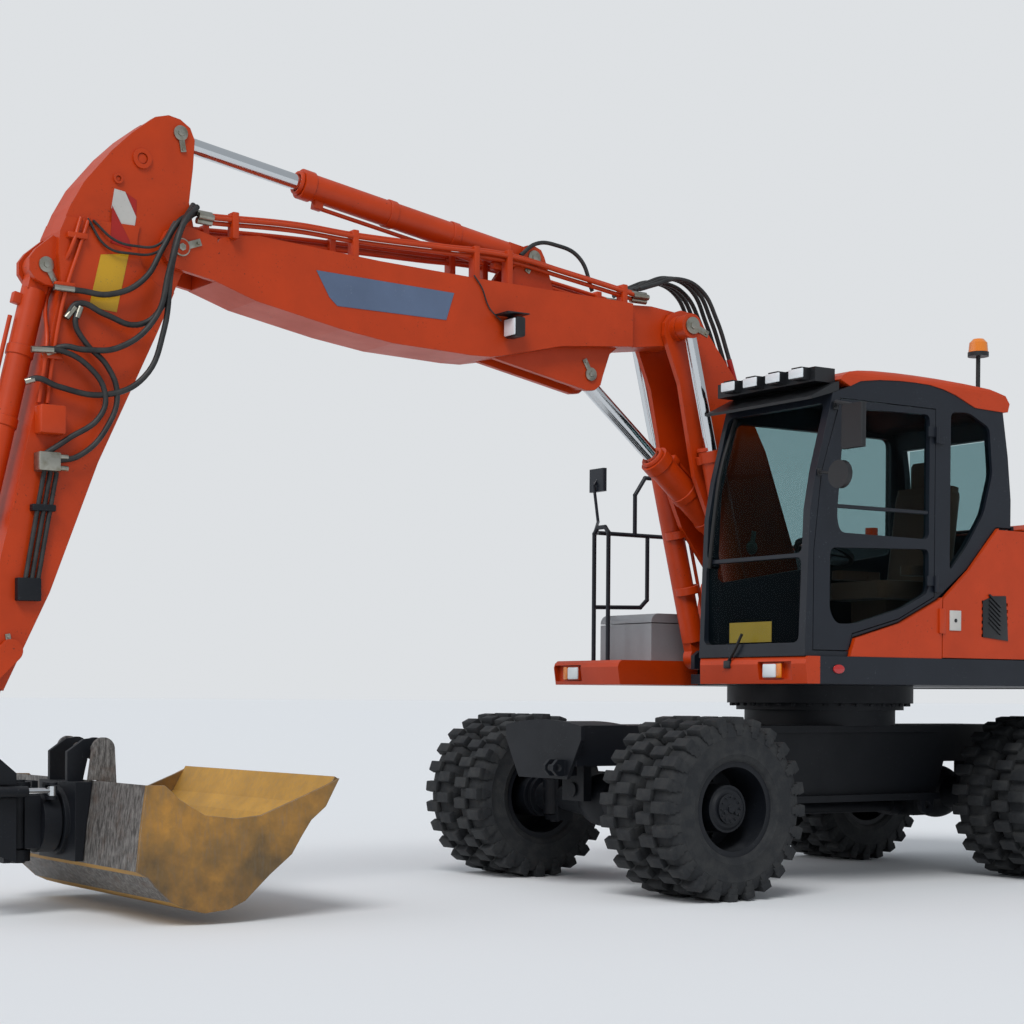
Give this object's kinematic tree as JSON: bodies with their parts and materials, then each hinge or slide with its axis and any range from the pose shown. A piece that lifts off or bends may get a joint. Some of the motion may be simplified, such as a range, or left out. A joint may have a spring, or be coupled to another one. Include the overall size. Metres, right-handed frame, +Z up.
{
  "type": "wheeled excavator",
  "caption": "Wheeled excavator with twin tyres, slewing upper body, cab, two-piece boom, arm and a tilting, turning grading bucket.",
  "frame": {"origin": "on the ground, at the middle of the machine's length and width", "axes": "+X forward along the boom, +Y to the cab side, +Z up"},
  "size_m": [8.456, 3.12, 4.3271],
  "materials": {
    "orange_paint": "weathered gloss paint",
    "dark_paint": "satin paint",
    "black_paint": "dusty satin paint",
    "grey_paint": "satin paint",
    "tyre": "worn rubber",
    "glass": "clear",
    "chrome_rod": "polished",
    "worn_yellow": "scraped paint",
    "seat_fabric": "woven",
    "black_plastic": "matte",
    "amber_plastic": "gloss"
  },
  "bodies": {
    "undercarriage": {"chassis_frame": "black_paint", "front_axle": "black_paint", "rear_axle": "black_paint", "transmission": "black_paint"},
    "knuckle_left": {"knuckle_left": "black_paint"},
    "knuckle_right": {"knuckle_right": "black_paint"},
    "wheel_front_left": {"rims_front_left": "black_paint", "tyres_front_left": "tyre"},
    "wheel_front_right": {"rims_front_right": "black_paint", "tyres_front_right": "tyre"},
    "wheel_rear_left": {"rims_rear_left": "black_paint", "tyres_rear_left": "tyre"},
    "wheel_rear_right": {"rims_rear_right": "black_paint", "tyres_rear_right": "tyre"},
    "house": {"slew_ring": "black_paint", "house_deck": "dark_paint", "front_fascias": "orange_paint", "counterweight": "dark_paint", "side_panels": "orange_paint", "engine_block": "dark_paint", "fuel_tank": "orange_paint", "toolbox": "grey_paint", "right_handrail": "dark_paint", "cab_frame": "dark_paint", "cab_roof": "orange_paint", "cab_glass": "glass", "seat": "seat_fabric", "console": "black_plastic", "lamp_bar": "black_plastic", "left_mirrors": "black_plastic", "beacon": "amber_plastic"},
    "hood": {"engine_hood": "orange_paint"},
    "left_door": {"left_service_door": "orange_paint"},
    "right_door": {"right_service_door": "orange_paint"},
    "lid": {"toolbox_lid": "grey_paint"},
    "entry_door": {"cab_door": "dark_paint", "door_glass": "glass"},
    "base_boom": {"base_boom": "orange_paint"},
    "front_boom": {"front_boom": "orange_paint"},
    "arm": {"arm": "orange_paint"},
    "rocker": {"rocker": "orange_paint"},
    "bucket_link": {"bucket_link": "orange_paint"},
    "tilt_bracket": {"tilt_bracket": "black_paint"},
    "rotator": {"rotator": "black_paint"},
    "tool": {"tool_hitch": "black_paint", "bucket": "worn_yellow", "bucket_sides": "worn_yellow", "bucket_bracket": "black_paint"},
    "lift_barrels": {"lift_barrels": "orange_paint"},
    "lift_rods": {"lift_rods": "chrome_rod"},
    "position_barrel": {"position_barrel": "orange_paint"},
    "position_rod": {"position_rod": "chrome_rod"},
    "arm_barrel": {"arm_barrel": "orange_paint"},
    "arm_rod": {"arm_rod": "chrome_rod"},
    "bucket_barrel": {"bucket_barrel": "orange_paint"},
    "bucket_rod": {"bucket_rod": "chrome_rod"},
    "tilt_barrel_left": {"tilt_barrel_left": "black_paint"},
    "tilt_rod_left": {"tilt_rod_left": "chrome_rod"},
    "tilt_barrel_right": {"tilt_barrel_right": "black_paint"},
    "tilt_rod_right": {"tilt_rod_right": "chrome_rod"}
  },
  "joints": [
    {"name": "slew", "type": "hinge", "parent": "undercarriage", "child": "house", "pos_m": [-1.955, 0, 1.43], "axis": [0, 0, 1], "continuous": true},
    {"name": "steer_left", "type": "hinge", "parent": "undercarriage", "child": "knuckle_left", "pos_m": [-0.125, 0.52, 0.535], "axis": [0, 0, 1], "range_deg": [-26, 26]},
    {"name": "steer_right", "type": "hinge", "parent": "undercarriage", "child": "knuckle_right", "pos_m": [-0.125, -0.52, 0.535], "axis": [0, 0, 1], "range_deg": [-26, 26]},
    {"name": "spin_front_left", "type": "hinge", "parent": "knuckle_left", "child": "wheel_front_left", "pos_m": [-0.125, 0.94, 0.535], "axis": [0, 1, 0], "continuous": true},
    {"name": "spin_front_right", "type": "hinge", "parent": "knuckle_right", "child": "wheel_front_right", "pos_m": [-0.125, -0.94, 0.535], "axis": [0, 1, 0], "continuous": true},
    {"name": "spin_rear_left", "type": "hinge", "parent": "undercarriage", "child": "wheel_rear_left", "pos_m": [-3.075, 0.94, 0.535], "axis": [0, 1, 0], "continuous": true},
    {"name": "spin_rear_right", "type": "hinge", "parent": "undercarriage", "child": "wheel_rear_right", "pos_m": [-3.075, -0.94, 0.535], "axis": [0, 1, 0], "continuous": true},
    {"name": "cab_door_swing", "type": "hinge", "parent": "house", "child": "entry_door", "pos_m": [-1.742, 1.236, 2.2], "axis": [0, 0, 1], "range_deg": [0, 150]},
    {"name": "left_door_swing", "type": "hinge", "parent": "house", "child": "left_door", "pos_m": [-2.723, 1.257, 1.8], "axis": [0, 0, 1], "range_deg": [0, 100]},
    {"name": "right_door_swing", "type": "hinge", "parent": "house", "child": "right_door", "pos_m": [-3.323, -1.257, 1.8], "axis": [0, 0, -1], "range_deg": [0, 100]},
    {"name": "hood_lift", "type": "hinge", "parent": "house", "child": "hood", "pos_m": [-2.485, 0, 2.278], "axis": [0, 1, 0], "range_deg": [0, 60]},
    {"name": "toolbox_lid_lift", "type": "hinge", "parent": "house", "child": "lid", "pos_m": [-1.445, -0.9, 1.71], "axis": [0, -1, 0], "range_deg": [0, 80]},
    {"name": "boom_lift", "type": "hinge", "parent": "house", "child": "base_boom", "pos_m": [-1.655, -0.1, 1.72], "axis": [0, -1, 0], "range_deg": [-36, 22]},
    {"name": "boom_knuckle", "type": "hinge", "parent": "base_boom", "child": "front_boom", "pos_m": [-0.645, -0.1, 3.53], "axis": [0, -1, 0], "range_deg": [-27, 30]},
    {"name": "arm_swing", "type": "hinge", "parent": "front_boom", "child": "arm", "pos_m": [2.855, -0.1, 3.61], "axis": [0, 1, 0], "range_deg": [-50, 45]},
    {"name": "bucket_curl", "type": "hinge", "parent": "arm", "child": "tilt_bracket", "pos_m": [4.045, -0.1, 0.9], "axis": [0, -1, 0], "range_deg": [-10, 150]},
    {"name": "tool_tilt", "type": "hinge", "parent": "tilt_bracket", "child": "rotator", "pos_m": [3.715, -0.1, 0.5], "axis": [0, 0, 1], "range_deg": [-30, 30]},
    {"name": "tool_rotate", "type": "hinge", "parent": "rotator", "child": "tool", "pos_m": [3.715, -0.1, 0.5], "axis": [-1, 0, 0], "continuous": true},
    {"name": "lift_pivot", "type": "hinge", "parent": "house", "child": "lift_barrels", "pos_m": [-1.175, -0.1, 1.45], "axis": [0, -1, 0], "range_deg": [-35.6, 21.83]},
    {"name": "lift_stroke", "type": "slide", "parent": "lift_barrels", "child": "lift_rods", "axis": [0.2469, 0, 0.969], "range_m": [-0.33425, 0.20504]},
    {"name": "position_pivot", "type": "hinge", "parent": "base_boom", "child": "position_barrel", "pos_m": [-1.275, -0.1, 2.165], "axis": [0, -1, 0], "range_deg": [-4.87, 5.39]},
    {"name": "position_stroke", "type": "slide", "parent": "position_barrel", "child": "position_rod", "axis": [0.7806, 0, 0.6251], "range_m": [-0.30678, 0.34064]},
    {"name": "arm_cylinder_pivot", "type": "hinge", "parent": "front_boom", "child": "arm_barrel", "pos_m": [0.445, -0.1, 3.86], "axis": [0, -1, 0], "range_deg": [-0.297, 0.2873]},
    {"name": "arm_cylinder_stroke", "type": "slide", "parent": "arm_barrel", "child": "arm_rod", "axis": [0.9877, 0, 0.1564], "range_m": [-0.49174, 0.44276]},
    {"name": "bucket_cylinder_pivot", "type": "hinge", "parent": "arm", "child": "bucket_barrel", "pos_m": [3.605, -0.1, 3.44], "axis": [0, -1, 0], "range_deg": [-0.25, 0.96]},
    {"name": "bucket_cylinder_stroke", "type": "slide", "parent": "bucket_barrel", "child": "bucket_rod", "axis": [0.229, 0, -0.9734], "range_m": [-0.80941, 0.05583]},
    {"name": "rocker_swing", "type": "hinge", "parent": "arm", "child": "rocker", "pos_m": [3.815, -0.1, 1.4], "axis": [0, -1, 0], "range_deg": [-7.65, 111.94]},
    {"name": "link_swing", "type": "hinge", "parent": "rocker", "child": "bucket_link", "pos_m": [4.165, -0.1, 1.06], "axis": [0, -1, 0], "range_deg": [-83.91, 5.78]},
    {"name": "tilt_pivot_left", "type": "hinge", "parent": "tilt_bracket", "child": "tilt_barrel_left", "pos_m": [3.99, 0.09, 0.665], "axis": [0, 0, 1], "range_deg": [-8.45, 8.45]},
    {"name": "tilt_stroke_left", "type": "slide", "parent": "tilt_barrel_left", "child": "tilt_rod_left", "axis": [-0.9973, -0.0739, 0], "range_m": [-0.08899, 0.08899]},
    {"name": "tilt_pivot_right", "type": "hinge", "parent": "tilt_bracket", "child": "tilt_barrel_right", "pos_m": [3.99, -0.29, 0.665], "axis": [0, 0, 1], "range_deg": [-8.45, 8.45]},
    {"name": "tilt_stroke_right", "type": "slide", "parent": "tilt_barrel_right", "child": "tilt_rod_right", "axis": [-0.9973, 0.0739, 0], "range_m": [-0.08899, 0.08899]}
  ],
  "couplings": [
    {"joint": "steer_right", "follows": "steer_left", "ratio": 1},
    {"joint": "lift_pivot", "follows": "boom_lift", "ratio": 0.9832},
    {"joint": "lift_stroke", "follows": "boom_lift", "m_per_rad": 0.52879},
    {"joint": "position_pivot", "follows": "boom_knuckle", "ratio": 0.17292},
    {"joint": "position_stroke", "follows": "boom_knuckle", "m_per_rad": 0.64676},
    {"joint": "arm_cylinder_pivot", "follows": "arm_swing", "ratio": 0.001941},
    {"joint": "arm_cylinder_stroke", "follows": "arm_swing", "m_per_rad": 0.5612},
    {"joint": "bucket_cylinder_pivot", "follows": "bucket_curl", "ratio": 0.005059},
    {"joint": "bucket_cylinder_stroke", "follows": "bucket_curl", "m_per_rad": -0.30841},
    {"joint": "rocker_swing", "follows": "bucket_curl", "ratio": 0.74496},
    {"joint": "link_swing", "follows": "bucket_curl", "ratio": -0.55804},
    {"joint": "tilt_pivot_left", "follows": "tool_tilt", "ratio": 0.27514},
    {"joint": "tilt_stroke_left", "follows": "tool_tilt", "m_per_rad": 0.16614},
    {"joint": "tilt_pivot_right", "follows": "tool_tilt", "ratio": 0.27514},
    {"joint": "tilt_stroke_right", "follows": "tool_tilt", "m_per_rad": -0.16614}
  ]
}
